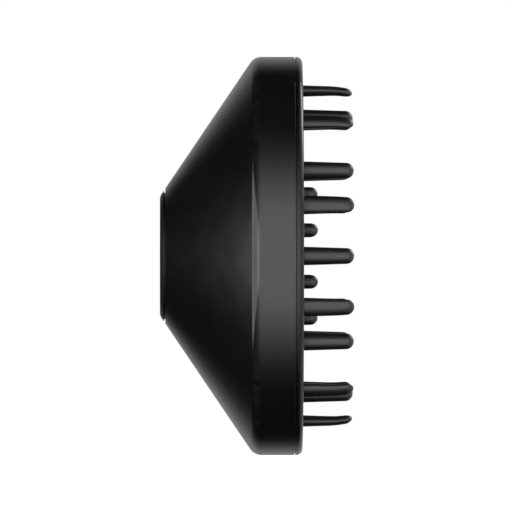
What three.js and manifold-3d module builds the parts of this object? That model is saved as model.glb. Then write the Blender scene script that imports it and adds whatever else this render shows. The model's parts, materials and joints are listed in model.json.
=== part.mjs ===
// Diffuser attachment for a hand-held hair dryer, in millimetres.
//
// A wide conical bowl spreads the air of a slim round dryer outlet over a round face full of prongs.
// The dryer blows along +X. The origin is the centre of the ring that seats on the dryer's outlet,
// so everything else lies at positive x, and +Z is up. The bowl turns about the X axis on a magnetic
// coupling ring that stays with the dryer.
//
// Air passes the coupling ring, meets a deflector dome, spreads between the inner shell and the dished
// face plate, is evened out by a slotted screen and leaves through the face plate's holes and slots.
// Every prong is a finger with a foot, trapped between the face plate and a clamp ring or clamp plate.
// Lists of two numbers named ..._X or ..._R run from the rear to the front, or from the inside out.

import * as THREE from 'three';
import { mergeVertices } from 'three/addons/utils/BufferGeometryUtils.js';
import Module from 'manifold-3d';

const wasm = await Module();
wasm.setup();

// ---- Driving dimensions ----

const OUTER_R = 63; // the band round the bowl
const REAR_R = 18.9; // where the cone's line meets the seat plane
const CONE_LENGTH = 29.85; // seat plane to where the cone's line meets the band
const CORNER_R = 3; // fillet between cone and band
const FRONT_X = 45; // front of the rim ring
const PRONG_TIP_X = 60.8; // tips of the long prongs
const CENTRE_TIP_X = 49.8; // tips of the centre prongs

const OUTER_WALL = 2; // outer shell, square to the cone
const AIR_GAP = 2.5; // insulating space between the two shells
const INNER_WALL = 1.6;

const FIT = 0.1; // between faces that rest on each other
const RUN = 0.3; // round what turns or slides in
const PAST = 1; // how far a cutter runs past what it cuts
const LARGE_SIDES = 40; // sides of a large round piece
const SMALL_SIDES = 32; // sides of a small one
const HOLE_SIDES = 6; // sides of a small air hole

// Coupling ring, the seat ring bonded to its rear face, and what they hold
const SOCKET_R = 13.4; // takes the dryer's nose
const SEAT_RING_X = 0.8;
const SEAT_CHAMFER = 0.4;
const LIP_FRONT_X = 1.3; // the seat ring's lip, flush with the cone
const LIP_STEP = { r: 20, x: 1.9 }; // shoulder on the lip's front, which reaches into the outer shell
const COUPLING_REAR_X = 0.9;
const NECK_R = 16.9;
const FLANGE_R = 19.4;
const FLANGE_X = [3.4, 4.8];
const COUPLING_FRONT_X = 6.8;
const SHOULDER_X = 5.2; // end of the socket
const SHOULDER_R = 12.2;
const NOSE_SEAL = 0.7; // thickness
const MAGNET = { count: 6, radial: 1.7, tangential: 6, x: [1, 5.7], at: 15.15 };
const TAG = { tangential: 4.8, x: [1, 1.8], angle: 30 };
const POLE_X = [5.8, 6.7];
const POLE_R = [13.2, 16.3];

// Bowl: rear end
const SHELL_REAR_X = 1.7; // leaves a fine seam in front of the seat ring's lip
const RECESS_X = 3.1; // wall in front of which the flange turns
const HUB_X = 5.7; // rear face of the inner shell's hub
const HUB_R = 20.2;
const THROAT_X = 7.1;
const THROAT_R = 13.2;
const FLARE_END_R = 33.1; // where the throat's flare has become the inner cone

// Bowl: front end
const BAND_END_X = 42.5;
const BAND_INNER_R = 61;
const INNER_END_X = 38; // front end of the inner shell
const INNER_SKIRT_R = [55.8, 57.4];
const RIM_SKIRT_R = [58.7, 60.6];
const RIM_SKIRT_REAR_X = 36.6;
const RIM_INNER_R = 57.3;
const RIM_EDGE_R = [1.1, 0.6]; // fillets at the rim's outer and inner front edge
const SNAP_TABS = { at: 60.6, count: 5, first: 0, width: 8, height: 1.8, x: [37.3, 38.9] };

// Face plate: a shelf for the long prongs, a slope with slots and a floor for the centre prongs
const SHELF_X = 42.6;
const FLOOR_X = 31.4;
const PLATE = 2; // wall of the shelf and of the floor
const PLATE_R = 58.4;
const SLOPE_TOP_R = 41;
const SLOPE_FOOT_R = 29;

// Prongs: radius of the circle, number, angle of the first, and half widths across the circle's radius
// and along the circle, of the foot, of the stem's base and of the stem near the tip
const OUTER_PRONGS = {
  at: 52.2,
  count: 10,
  first: 18,
  foot: [2.9, 4.1],
  base: [1.95, 3.05],
  top: [1.4, 2.5],
  lean: 0.8,
};
const INNER_PRONGS = {
  at: 45.5,
  count: 10,
  first: 0,
  foot: [3.6, 3.6],
  base: [3.05, 3.05],
  top: [2.5, 2.5],
  lean: 0,
};
const CENTRE_PRONGS = {
  at: 21.2,
  count: 8,
  first: 22.5,
  foot: [3.3, 3.3],
  base: [2.5, 2.5],
  top: [2.2, 2.2],
  lean: 0,
};
const PRONG_SIDES = 8;
const PRONG_TIP_LENGTH = 2.4; // the rounded end
const PRONG_BEND_LENGTH = 5; // of a leaning finger, up to the rounded end
const FOOT_HEIGHT = 1.4;

// What holds the prongs' feet, and the pieces in the middle
const CLAMP = 1.7; // thickness of the clamp ring and the clamp plate
const CLAMP_RING_R = [42.9, 55.5];
const CLAMP_PLATE_R = 24.6;
const DEFLECTOR = { tipX: 12.5, r: 15.6, wall: 1.6, postR: 3.4 };
const CAP = { r: 8.6, height: 3.5 };

// Air holes and slots: radius of the circle, number, angle of the first
const HOLE_R = 1.6;
const AIR_HOLES = [
  { at: 53, count: 10, first: 0 },
  { at: 26.2, count: 16, first: 0 },
  { at: 20.2, count: 8, first: 0 },
  { at: 14.2, count: 8, first: 0 },
];
const SHELF_SLOTS = { count: 20, first: 9, width: 2.6, from: 45.6, to: 55.6 };
const SLOPE_SLOTS = { count: 40, first: 4.5, width: 2.2, from: 30.8, to: 39.4 };
const CLAMP_SLOTS = { count: 20, first: 9, width: 3.8, from: 44.4, to: 58 };
const CENTRE_CLAMP_SLOTS = { count: 8, first: 0, width: 4.4, from: 12, to: 28 };
const SCREEN_SLOTS = { count: 20, first: 9, width: 7, from: 40, to: 53 };
const SCREEN = { x: [32.3, 33.1], r: [34.2, 55.4] };

// Screws
// root: how deep the shank is set into the head; room: clear space past a screw's tip
const SCREW = { shank: 1.1, pilot: 1.3, hole: 1.4, sides: 8, root: 1, room: 0.2 };
const SHELL_SCREWS = { at: 25, count: 3, first: 90, seatX: 13, endX: 6.9, head: 2.3, headHeight: 1.5 };
const SHELL_BOSS = { r: 2.8, endX: 10.2 }; // on the outer shell
const SHELL_PAD = { r: 3.7, rearX: 10.4 }; // on the inner shell, under the screw head
const CLAMP_SCREWS = { at: 45.6, count: 5, first: 18, seatX: 37.3, endX: 41.6, head: 2.1, headHeight: 1.4 };
const CLAMP_BOSS_R = 2.5;
const CENTRE_SCREW = { head: 2.8, headHeight: 1.7, endX: 19.5 };

// ---- Materials ----

const plastic = (color, roughness) => new THREE.MeshStandardMaterial({ color, roughness, metalness: 0 });
const metal = (color, roughness) => new THREE.MeshStandardMaterial({ color, roughness, metalness: 1 });

const materials = {
  shell: plastic(0x1b1b1d, 0.42),
  rim: plastic(0x121214, 0.25),
  face: plastic(0x18181a, 0.5),
  prong: plastic(0x202022, 0.4),
  coupling: plastic(0x141416, 0.45),
  liner: plastic(0x2b2b2d, 0.6),
  rubber: plastic(0x0f0f10, 0.8),
  washer: plastic(0xd8d6d0, 0.5),
  tag: plastic(0x1f4a33, 0.5),
  magnet: metal(0xb9bbbe, 0.25),
  steel: metal(0x9da0a4, 0.35),
};

// ---- Helpers ----

const radians = (degrees) => (degrees * Math.PI) / 180;

// A three.js geometry as a manifold-3d solid.
function solidOf(geometry) {
  const bare = geometry.clone();
  bare.deleteAttribute('normal');
  bare.deleteAttribute('uv');
  const merged = mergeVertices(bare, 1e-4);
  return new wasm.Manifold(
    new wasm.Mesh({
      numProp: 3,
      vertProperties: new Float32Array(merged.attributes.position.array),
      triVerts: new Uint32Array(merged.index.array),
    }),
  );
}

function geometryOf(solid) {
  const mesh = solid.getMesh();
  const geometry = new THREE.BufferGeometry();
  geometry.setAttribute('position', new THREE.BufferAttribute(new Float32Array(mesh.vertProperties), 3));
  geometry.setIndex(new THREE.BufferAttribute(new Uint32Array(mesh.triVerts), 1));
  const flat = geometry.toNonIndexed();
  flat.computeVertexNormals();
  return flat;
}

// Turns a profile of [x, r] points about the X axis. It starts and ends on the axis, or closes on itself.
function turned(profile, sides = LARGE_SIDES) {
  const onAxis = profile[0][1] === 0 && profile.at(-1)[1] === 0;
  const loop = onAxis ? profile : [...profile, profile[0]];
  const area = loop.reduce((sum, [x, r], i) => {
    const [nextX, nextR] = loop[(i + 1) % loop.length];
    return sum + x * nextR - nextX * r;
  }, 0);
  const ordered = area < 0 ? loop : [...loop].reverse();
  const points = ordered.map(([x, r]) => new THREE.Vector2(r, x));
  const geometry = new THREE.LatheGeometry(points, sides);
  geometry.rotateZ(-Math.PI / 2);
  return solidOf(geometry);
}

const ring = ([backX, frontX], [innerR, outerR], sides) =>
  turned([[backX, innerR], [backX, outerR], [frontX, outerR], [frontX, innerR]], sides);

// A rod along X at a place on a circle about the X axis.
function rod(r, [backX, frontX], place, sides = SCREW.sides) {
  const geometry = new THREE.CylinderGeometry(r, r, frontX - backX, sides);
  geometry.rotateZ(-Math.PI / 2);
  geometry.translate((backX + frontX) / 2, 0, 0);
  return placed(geometry, place);
}

// Moves a geometry out to the circle, to the place's angle, and makes it a solid.
// Angle 0 is towards -Y, and angles grow towards +Z.
function placed(geometry, { at, angle }) {
  const moved = geometry.clone();
  moved.translate(0, -at, 0);
  moved.rotateX(radians(-angle));
  return solidOf(moved);
}

const places = ({ at, count, first }) =>
  Array.from({ length: count }, (_, i) => ({ at, angle: first + (i * 360) / count }));

// Profile points on an ellipse about [x, r]. Angle 0 is along +X, and 90 is away from the axis.
function arc([x, r], [radiusX, radiusR], from, to, steps) {
  return Array.from({ length: steps + 1 }, (_, i) => {
    const angle = radians(from + ((to - from) * i) / steps);
    const height = r + radiusR * Math.sin(angle);
    return [x + radiusX * Math.cos(angle), Math.abs(height) < 1e-9 ? 0 : height];
  });
}

const cut = (solid, cutters) => cutters.reduce((rest, cutter) => rest.subtract(cutter), solid);
const join = (solids) => solids.reduce((whole, solid) => whole.add(solid));

function box([backX, frontX], radial, tangential, place) {
  const geometry = new THREE.BoxGeometry(frontX - backX, radial, tangential);
  geometry.translate((backX + frontX) / 2, 0, 0);
  return placed(geometry, place);
}

// Blocks that cut radial slots through a piece.
const slotCutters = ({ count, first, width, from, to }, reach) =>
  places({ at: (from + to) / 2, count, first }).map((place) => box(reach, to - from, width, place));

const group = new THREE.Group();

function addPart(name, solid, material) {
  const mesh = new THREE.Mesh(geometryOf(solid), material);
  mesh.name = name;
  group.add(mesh);
}

// ---- The cone ----

const CONE_SLOPE = (OUTER_R - REAR_R) / CONE_LENGTH; // growth of the radius along x
const AXIAL_PER_WALL = Math.hypot(1, CONE_SLOPE) / CONE_SLOPE; // axial length of a wall square to the cone
const CONE_NORMAL = 90 + (Math.atan(CONE_SLOPE) * 180) / Math.PI; // outward, in an arc's degrees

// x at a radius, and radius at an x, on the cone or on a surface inset from it.
const coneX = (r, inset = 0) => (r - REAR_R) / CONE_SLOPE + inset * AXIAL_PER_WALL;
const coneR = (x, inset = 0) => REAR_R + (x - inset * AXIAL_PER_WALL) * CONE_SLOPE;

// ---- Coupling: stays with the dryer ----

const magnetPlaces = places({ ...MAGNET, first: 0 });
const tagPlace = { at: MAGNET.at, angle: TAG.angle };

function seatRing() {
  return turned(
    [
      [0, SOCKET_R],
      [0, REAR_R - SEAT_CHAMFER],
      [SEAT_CHAMFER, coneR(SEAT_CHAMFER)],
      [LIP_FRONT_X, coneR(LIP_FRONT_X)],
      [LIP_FRONT_X, LIP_STEP.r],
      [LIP_STEP.x, LIP_STEP.r],
      [LIP_STEP.x, NECK_R + FIT],
      [SEAT_RING_X, NECK_R + FIT],
      [SEAT_RING_X, SOCKET_R],
    ],
    SMALL_SIDES,
  );
}

function couplingRing() {
  const body = turned(
    [
      [COUPLING_REAR_X, SOCKET_R],
      [COUPLING_REAR_X, NECK_R],
      [FLANGE_X[0], NECK_R],
      [FLANGE_X[0], FLANGE_R],
      [FLANGE_X[1], FLANGE_R],
      [FLANGE_X[1], NECK_R],
      [COUPLING_FRONT_X, NECK_R],
      [COUPLING_FRONT_X, POLE_R[1] + FIT],
      [POLE_X[0] - FIT, POLE_R[1] + FIT],
      [POLE_X[0] - FIT, POLE_R[0] - FIT],
      [COUPLING_FRONT_X, POLE_R[0] - FIT],
      [COUPLING_FRONT_X, SHOULDER_R],
      [SHOULDER_X, SHOULDER_R],
      [SHOULDER_X, SOCKET_R],
    ],
    SMALL_SIDES,
  );
  const pocket = (frontX, tangential, place) =>
    box([0, frontX], MAGNET.radial + 2 * FIT, tangential + 2 * FIT, place);
  const magnetPockets = magnetPlaces.map((place) => pocket(POLE_X[0], MAGNET.tangential, place));
  return cut(body, [...magnetPockets, pocket(TAG.x[1] + FIT, TAG.tangential, tagPlace)]);
}

function addCoupling() {
  addPart('seat_ring', seatRing(), materials.coupling);
  addPart('coupling_ring', couplingRing(), materials.coupling);
  magnetPlaces.forEach((place, i) =>
    addPart(`magnet_${i + 1}`, box(MAGNET.x, MAGNET.radial, MAGNET.tangential, place), materials.magnet),
  );
  addPart('id_tag', box(TAG.x, MAGNET.radial, TAG.tangential, tagPlace), materials.tag);
  addPart('pole_ring', ring(POLE_X, POLE_R, SMALL_SIDES), materials.steel);
  const sealX = [SHOULDER_X - FIT - NOSE_SEAL, SHOULDER_X - FIT];
  addPart('nose_seal', ring(sealX, [SHOULDER_R, SOCKET_R - FIT], SMALL_SIDES), materials.rubber);
}

// ---- Shells ----

function outerShell() {
  const cornerR = OUTER_R - CORNER_R;
  const stepX = LIP_STEP.x + SHELL_REAR_X - LIP_FRONT_X;
  const body = turned([
    [stepX, NECK_R + RUN],
    [stepX, LIP_STEP.r + RUN],
    [SHELL_REAR_X, LIP_STEP.r + RUN],
    [SHELL_REAR_X, coneR(SHELL_REAR_X)],
    ...arc([coneX(cornerR, CORNER_R), cornerR], [CORNER_R, CORNER_R], CONE_NORMAL, 90, 2),
    [BAND_END_X, OUTER_R],
    [BAND_END_X, BAND_INNER_R],
    [coneX(BAND_INNER_R, OUTER_WALL), BAND_INNER_R],
    [RECESS_X, coneR(RECESS_X, OUTER_WALL)],
    [RECESS_X, NECK_R + RUN],
  ]);
  const midWall = OUTER_WALL / 2; // the bosses end inside the wall
  const inside = turned([
    [RECESS_X, 0],
    [RECESS_X, coneR(RECESS_X, midWall)],
    [SHELL_PAD.rearX, coneR(SHELL_PAD.rearX, midWall)],
    [SHELL_PAD.rearX, 0],
  ]);
  const bosses = places(SHELL_SCREWS).map((place) =>
    rod(SHELL_BOSS.r, [RECESS_X - PAST, SHELL_BOSS.endX], place).intersect(inside),
  );
  const pilots = places(SHELL_SCREWS).map((place) =>
    rod(SCREW.pilot, [SHELL_SCREWS.endX - SCREW.room, SHELL_BOSS.endX + PAST], place),
  );
  const pocketX = [SNAP_TABS.x[0] - RUN, SNAP_TABS.x[1] + RUN];
  const tabPockets = places(SNAP_TABS).map((place) =>
    box(pocketX, SNAP_TABS.height + 2 * RUN, SNAP_TABS.width + 4 * RUN, place),
  );
  return cut(join([body, ...bosses]), [...pilots, ...tabPockets]);
}

function innerShell() {
  const outside = OUTER_WALL + AIR_GAP;
  const inside = outside + INNER_WALL;
  const body = turned([
    [HUB_X, NECK_R + RUN],
    [HUB_X, HUB_R],
    [coneX(HUB_R, outside), HUB_R],
    [coneX(INNER_SKIRT_R[1], outside), INNER_SKIRT_R[1]],
    [INNER_END_X, INNER_SKIRT_R[1]],
    [INNER_END_X, INNER_SKIRT_R[0]],
    [coneX(INNER_SKIRT_R[0], inside), INNER_SKIRT_R[0]],
    [coneX(FLARE_END_R, inside), FLARE_END_R],
    [THROAT_X, THROAT_R],
    [THROAT_X, NECK_R + RUN],
  ]);
  const seatX = SHELL_SCREWS.seatX;
  const pads = places(SHELL_SCREWS).map((place) => rod(SHELL_PAD.r, [SHELL_PAD.rearX, seatX], place));
  const cutters = places(SHELL_SCREWS).flatMap((place) => [
    rod(SHELL_BOSS.r + RUN, [0, SHELL_PAD.rearX], place),
    rod(SCREW.hole, [0, seatX + PAST], place),
    rod(SHELL_SCREWS.head + RUN, [seatX, coneX(FLARE_END_R, inside)], place),
  ]);
  return cut(join([body, ...pads]), cutters);
}

function addShells() {
  addPart('outer_shell', outerShell(), materials.shell);
  addPart('inner_shell', innerShell(), materials.liner);
  const washerX = [FLANGE_X[1] + FIT, HUB_X - FIT];
  addPart('swivel_washer', ring(washerX, [NECK_R + RUN, FLANGE_R], SMALL_SIDES), materials.washer);
}

// ---- Face plate ----

function prongHole(prong, place, [backX, frontX]) {
  const [radial, tangential] = prong.base;
  const geometry = new THREE.CylinderGeometry(1, 1, frontX - backX, PRONG_SIDES);
  geometry.rotateZ(-Math.PI / 2);
  geometry.scale(1, radial + RUN, tangential + RUN);
  geometry.translate((backX + frontX) / 2, 0, 0);
  return placed(geometry, place);
}

function facePlate() {
  const backX = SHELF_X - PLATE;
  const slopeAngle = Math.atan2(SHELF_X - FLOOR_X, SLOPE_TOP_R - SLOPE_FOOT_R);
  const cornerShift = PLATE * Math.tan(slopeAngle / 2); // keeps the slope's wall as thick as the rest
  const body = turned([
    [backX, PLATE_R],
    [SHELF_X, PLATE_R],
    [SHELF_X, SLOPE_TOP_R],
    [FLOOR_X, SLOPE_FOOT_R],
    [FLOOR_X, SCREW.hole],
    [FLOOR_X - PLATE, SCREW.hole],
    [FLOOR_X - PLATE, SLOPE_FOOT_R + cornerShift],
    [backX, SLOPE_TOP_R + cornerShift],
  ]);
  const bosses = places(CLAMP_SCREWS).map((place) =>
    rod(CLAMP_BOSS_R, [backX - FOOT_HEIGHT, backX + PLATE / 2], place),
  );
  const through = [FLOOR_X - PLATE - PAST, SHELF_X + PAST];
  const prongHoles = [OUTER_PRONGS, INNER_PRONGS, CENTRE_PRONGS].flatMap((prong) =>
    places(prong).map((place) => prongHole(prong, place, through)),
  );
  const airHoles = AIR_HOLES.flatMap((circle) =>
    places(circle).map((place) => rod(HOLE_R, through, place, HOLE_SIDES)),
  );
  const slots = [...slotCutters(SHELF_SLOTS, through), ...slotCutters(SLOPE_SLOTS, through)];
  const pilots = places(CLAMP_SCREWS).map((place) =>
    rod(SCREW.pilot, [backX - FOOT_HEIGHT - PAST, CLAMP_SCREWS.endX + SCREW.room], place),
  );
  return cut(join([body, ...bosses]), [...prongHoles, ...airHoles, ...slots, ...pilots]);
}

// ---- Prongs ----

// A tapered finger with a rounded tip and a foot, built as rings of points with their own half widths.
// A leaning finger's tip bends towards the axis.
function prong({ foot, base, top, lean }, footX, tipX, place) {
  const stemX = footX + FOOT_HEIGHT;
  const roundX = tipX - PRONG_TIP_LENGTH;
  const capSection = (share) => [roundX + share * PRONG_TIP_LENGTH, top, Math.sqrt(1 - share ** 2)];
  const sections = [
    [footX, foot, 0],
    [footX, foot, 1],
    [stemX, foot, 1],
    [stemX, base, 1],
    capSection(0),
    capSection(0.7),
    capSection(1),
  ];
  const profile = sections.map(([x, [, tangential], share]) => new THREE.Vector2(tangential * share, x));
  const geometry = new THREE.LatheGeometry(profile, PRONG_SIDES);
  geometry.rotateZ(-Math.PI / 2);
  const bendX = roundX - PRONG_BEND_LENGTH;
  const position = geometry.attributes.position;
  for (let i = 0; i < position.count; i++) {
    const [x, [radial, tangential]] = sections[i % sections.length];
    const bend = lean * (Math.max(0, x - bendX) / (tipX - bendX)) ** 2;
    position.setY(i, (position.getY(i) * radial) / tangential + bend);
  }
  return placed(geometry, place);
}

const two = (number) => String(number).padStart(2, '0');

function addProngs() {
  const shelfFootX = SHELF_X - PLATE - FIT - FOOT_HEIGHT;
  const floorFootX = FLOOR_X - PLATE - FIT - FOOT_HEIGHT;
  const sets = [
    ['outer_prong', OUTER_PRONGS, shelfFootX, PRONG_TIP_X],
    ['inner_prong', INNER_PRONGS, shelfFootX, PRONG_TIP_X],
    ['centre_prong', CENTRE_PRONGS, floorFootX, CENTRE_TIP_X],
  ];
  for (const [name, shape, footX, tipX] of sets) {
    places(shape).forEach((place, i) =>
      addPart(`${name}_${two(i + 1)}`, prong(shape, footX, tipX, place), materials.prong),
    );
  }
}

// ---- What holds the prongs, and the pieces behind the face plate ----

function prongClampRing() {
  const frontX = SHELF_X - PLATE - FOOT_HEIGHT - 2 * FIT;
  const body = ring([frontX - CLAMP, frontX], CLAMP_RING_R);
  const reach = [frontX - CLAMP - PAST, frontX + PAST];
  const screwHoles = places(CLAMP_SCREWS).map((place) => rod(SCREW.hole, reach, place));
  return cut(body, [...slotCutters(CLAMP_SLOTS, reach), ...screwHoles]);
}

function centreClampPlate() {
  const frontX = FLOOR_X - PLATE - FOOT_HEIGHT - 2 * FIT;
  const body = ring([frontX - CLAMP, frontX], [SCREW.hole, CLAMP_PLATE_R], SMALL_SIDES);
  return cut(body, slotCutters(CENTRE_CLAMP_SLOTS, [frontX - CLAMP - PAST, frontX + PAST]));
}

function diffusingScreen() {
  const reach = [SCREEN.x[0] - PAST, SCREEN.x[1] + PAST];
  return cut(ring(SCREEN.x, SCREEN.r), slotCutters(SCREEN_SLOTS, reach));
}

function deflectorDome() {
  const frontX = FLOOR_X - PLATE - FOOT_HEIGHT - CLAMP - 3 * FIT;
  const depth = frontX - DEFLECTOR.tipX;
  const hollow = [depth - DEFLECTOR.wall, DEFLECTOR.r - DEFLECTOR.wall];
  const hollowEnd = 180 - (Math.asin(DEFLECTOR.postR / hollow[1]) * 180) / Math.PI;
  const holeEndX = CENTRE_SCREW.endX - SCREW.room;
  return turned(
    [
      ...arc([frontX, 0], [depth, DEFLECTOR.r], 180, 90, 4),
      ...arc([frontX, 0], hollow, 90, hollowEnd, 3),
      [frontX, DEFLECTOR.postR],
      [frontX, SCREW.hole],
      [holeEndX, SCREW.hole],
      [holeEndX, 0],
    ],
    SMALL_SIDES,
  );
}

function centreCap() {
  const seatX = FLOOR_X + FIT;
  const hollowR = CENTRE_SCREW.head + 2 * RUN;
  const hollowX = seatX + CENTRE_SCREW.headHeight + RUN;
  return turned(
    [[hollowX, 0], [hollowX, hollowR], [seatX, hollowR], ...arc([seatX, 0], [CAP.height, CAP.r], 90, 0, 4)],
    SMALL_SIDES,
  );
}

function rimRing() {
  const lipX = SHELF_X + FIT;
  const [outerEdge, innerEdge] = RIM_EDGE_R;
  const body = turned([
    [RIM_SKIRT_REAR_X, RIM_SKIRT_R[0]],
    [RIM_SKIRT_REAR_X, RIM_SKIRT_R[1]],
    [BAND_END_X + RUN, RIM_SKIRT_R[1]],
    [BAND_END_X + RUN, OUTER_R],
    ...arc([FRONT_X - outerEdge, OUTER_R - outerEdge], [outerEdge, outerEdge], 90, 0, 2),
    [FRONT_X, RIM_INNER_R + innerEdge],
    [FRONT_X - innerEdge, RIM_INNER_R],
    [lipX, RIM_INNER_R],
    [lipX, RIM_SKIRT_R[0]],
  ]);
  const tabs = places(SNAP_TABS).map((place) => box(SNAP_TABS.x, SNAP_TABS.height, SNAP_TABS.width, place));
  return join([body, ...tabs]);
}

function addFace() {
  addPart('face_plate', facePlate(), materials.face);
  addPart('prong_clamp_ring', prongClampRing(), materials.liner);
  addPart('centre_clamp_plate', centreClampPlate(), materials.liner);
  addPart('diffusing_screen', diffusingScreen(), materials.steel);
  addPart('deflector_dome', deflectorDome(), materials.liner);
  addPart('centre_cap', centreCap(), materials.rim);
  addPart('rim_ring', rimRing(), materials.rim);
  const sealX = [INNER_END_X + FIT, SHELF_X - PLATE - FIT];
  addPart('rim_seal', ring(sealX, INNER_SKIRT_R), materials.rubber);
}

// ---- Screws ----

// A pan head screw whose head sits on the face at seatX and whose shank runs to endX.
function screw(seatX, endX, headR, headHeight, place) {
  const out = Math.sign(seatX - endX);
  const from = seatX + out * FIT;
  const head = [from, from + out * headHeight].sort((a, b) => a - b);
  const shank = [from + out * SCREW.root, endX].sort((a, b) => a - b);
  return rod(headR, head, place).add(rod(SCREW.shank, shank, place));
}

function addScrews() {
  for (const [name, set] of [['shell_screw', SHELL_SCREWS], ['clamp_screw', CLAMP_SCREWS]]) {
    places(set).forEach((place, i) => {
      const solid = screw(set.seatX, set.endX, set.head, set.headHeight, place);
      addPart(`${name}_${i + 1}`, solid, materials.steel);
    });
  }
  const { head, headHeight, endX } = CENTRE_SCREW;
  addPart('centre_screw', screw(FLOOR_X, endX, head, headHeight, { at: 0, angle: 0 }), materials.steel);
}

addCoupling();
addShells();
addFace();
addProngs();
addScrews();

export default group;
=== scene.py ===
"""The looks of a hair dryer's diffuser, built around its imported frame.

Air runs along +X. Shapes are worked out in millimetres, as (x, y, z, wear) points, and become metres when
a mesh is made. Wear is how much a point is rubbed in use, from 0 to 1, and the materials read it.
Angles about the X axis are in degrees, start at -Y and grow towards +Z.
"""

import json
import math
from functools import partial

import bmesh
import bpy
import numpy as np
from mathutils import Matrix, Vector
from mathutils.geometry import delaunay_2d_cdt


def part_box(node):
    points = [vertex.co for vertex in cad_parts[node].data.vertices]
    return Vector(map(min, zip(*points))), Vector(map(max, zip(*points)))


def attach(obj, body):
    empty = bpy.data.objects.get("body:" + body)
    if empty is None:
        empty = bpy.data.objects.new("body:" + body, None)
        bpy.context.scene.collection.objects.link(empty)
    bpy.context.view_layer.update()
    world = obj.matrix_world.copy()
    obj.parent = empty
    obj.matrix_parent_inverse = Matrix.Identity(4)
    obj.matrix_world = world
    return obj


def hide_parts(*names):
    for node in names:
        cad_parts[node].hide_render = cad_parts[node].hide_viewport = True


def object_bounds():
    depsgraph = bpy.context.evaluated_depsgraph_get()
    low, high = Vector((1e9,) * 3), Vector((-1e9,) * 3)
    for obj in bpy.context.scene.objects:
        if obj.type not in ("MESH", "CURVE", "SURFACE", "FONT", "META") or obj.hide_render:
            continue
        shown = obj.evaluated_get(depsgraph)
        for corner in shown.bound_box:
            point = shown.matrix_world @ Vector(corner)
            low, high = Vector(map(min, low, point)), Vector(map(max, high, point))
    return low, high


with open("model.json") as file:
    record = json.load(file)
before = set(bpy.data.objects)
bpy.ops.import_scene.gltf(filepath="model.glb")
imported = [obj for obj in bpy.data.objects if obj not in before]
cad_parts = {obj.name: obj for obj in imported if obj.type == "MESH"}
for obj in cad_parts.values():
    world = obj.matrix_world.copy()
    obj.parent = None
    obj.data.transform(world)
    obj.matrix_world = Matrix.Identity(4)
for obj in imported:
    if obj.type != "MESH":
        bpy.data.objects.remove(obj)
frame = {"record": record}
cad_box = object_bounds()

RECORD = frame["record"]
BODY_OF = {node: body for body, nodes in RECORD["behaviour"]["bodies"].items() for node in nodes}
SLOT_OF = {part["node"]: part["material_slot"] for part in RECORD["subparts"]}

# ---- Sizes in millimetres that the frame's boxes don't give ----

MM = 1000.0  # millimetres in a metre
TINY = 1e-6  # lengths below this count as 0
FIT = 0.1  # between faces that rest on each other
RUN = 0.3  # round what turns or slides in

CONE_END_X = 29.85  # where the cone's line meets the band
CORNER_R = 4.0  # fillet between cone and band
OUTER_WALL = 2.0
AIR_GAP = 2.5
INNER_WALL = 1.6

SOCKET_R = 13.4
NECK_R = 16.9
FLANGE_X = (3.4, 4.8)
SEAT_RING_X = 0.8
SEAT_CHAMFER = 0.4
LIP_X = 1.3  # the seat ring's lip, flush with the cone
STEP_R = 20.0  # shoulder on the lip's front, which reaches into the outer shell
SHOULDER = (5.2, 12.2)  # x and radius
POLE_GROOVE = (5.7, 13.1, 16.4)  # x and radii
MAGNET = {"size": (4.7, 1.7, 6.0), "x": 1.0, "at": 15.15, "count": 6}
TAG = {"size": (0.8, 1.7, 4.8), "x": 1.0, "at": 15.15, "angle": 30.0}

RECESS_X = 3.1
BAND_INNER_R = 61.0
HUB = (5.7, 20.2)  # x of its rear face and radius
THROAT = (7.1, 13.2)
FLARE_END_R = 33.1
INNER_SKIRT_R = (55.8, 57.4)
RIM_SKIRT_R = (58.7, 60.6)
RIM_LIP_X = 42.7
RIM_INNER_R = 57.3
RIM_ROUND_R = 1.9
RIM_GROOVE = 0.6  # depth of the fine groove between band and rim
SNAP_TABS = {"size": (1.6, 1.8, 8.0), "x": 37.3, "at": 60.6, "count": 5}
CUT_EDGE = 0.12  # bevel on the edges of slots and pockets

SHELF_X = 42.6
FLOOR_X = 31.4
PLATE = 2.0
SLOPE_TOP_R = 41.0
SLOPE_FOOT_R = 29.0
SLOPE_BEND_R = 2.0  # inner radius of the bends at the slope's top and foot
HOLE_EDGE = 0.3  # fillet round each hole of the face plate
FOOT_HEIGHT = 1.4

PRONGS = {
    "outer_prong": {"at": 52.2, "count": 10, "first": 18.0, "lean": 0.8,
                    "foot": (2.9, 4.1), "base": (1.95, 3.05), "top": (1.4, 2.5)},
    "inner_prong": {"at": 45.5, "count": 10, "first": 0.0, "lean": 0.0,
                    "foot": (3.6, 3.6), "base": (3.05, 3.05), "top": (2.5, 2.5)},
    "centre_prong": {"at": 21.2, "count": 8, "first": 22.5, "lean": 0.0,
                     "foot": (3.3, 3.3), "base": (2.5, 2.5), "top": (2.2, 2.2)},
}
FOOT_REAR = [(0.0, 0.0), (0.0, 0.9), (0.12, 0.98), (0.3, 1.0)]  # x from its end, and share of its size
FOOT_FRONT = [(-0.3, 1.0), (-0.1, 0.98), (0.0, 0.92)]
STEM_ROOT = 1.04  # the stem's size at the foot, as a share of its base
PRONG_TIP = 2.4  # length of the rounded end
PRONG_BEND = 5.0  # length of a leaning finger's bend, up to the rounded end

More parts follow.
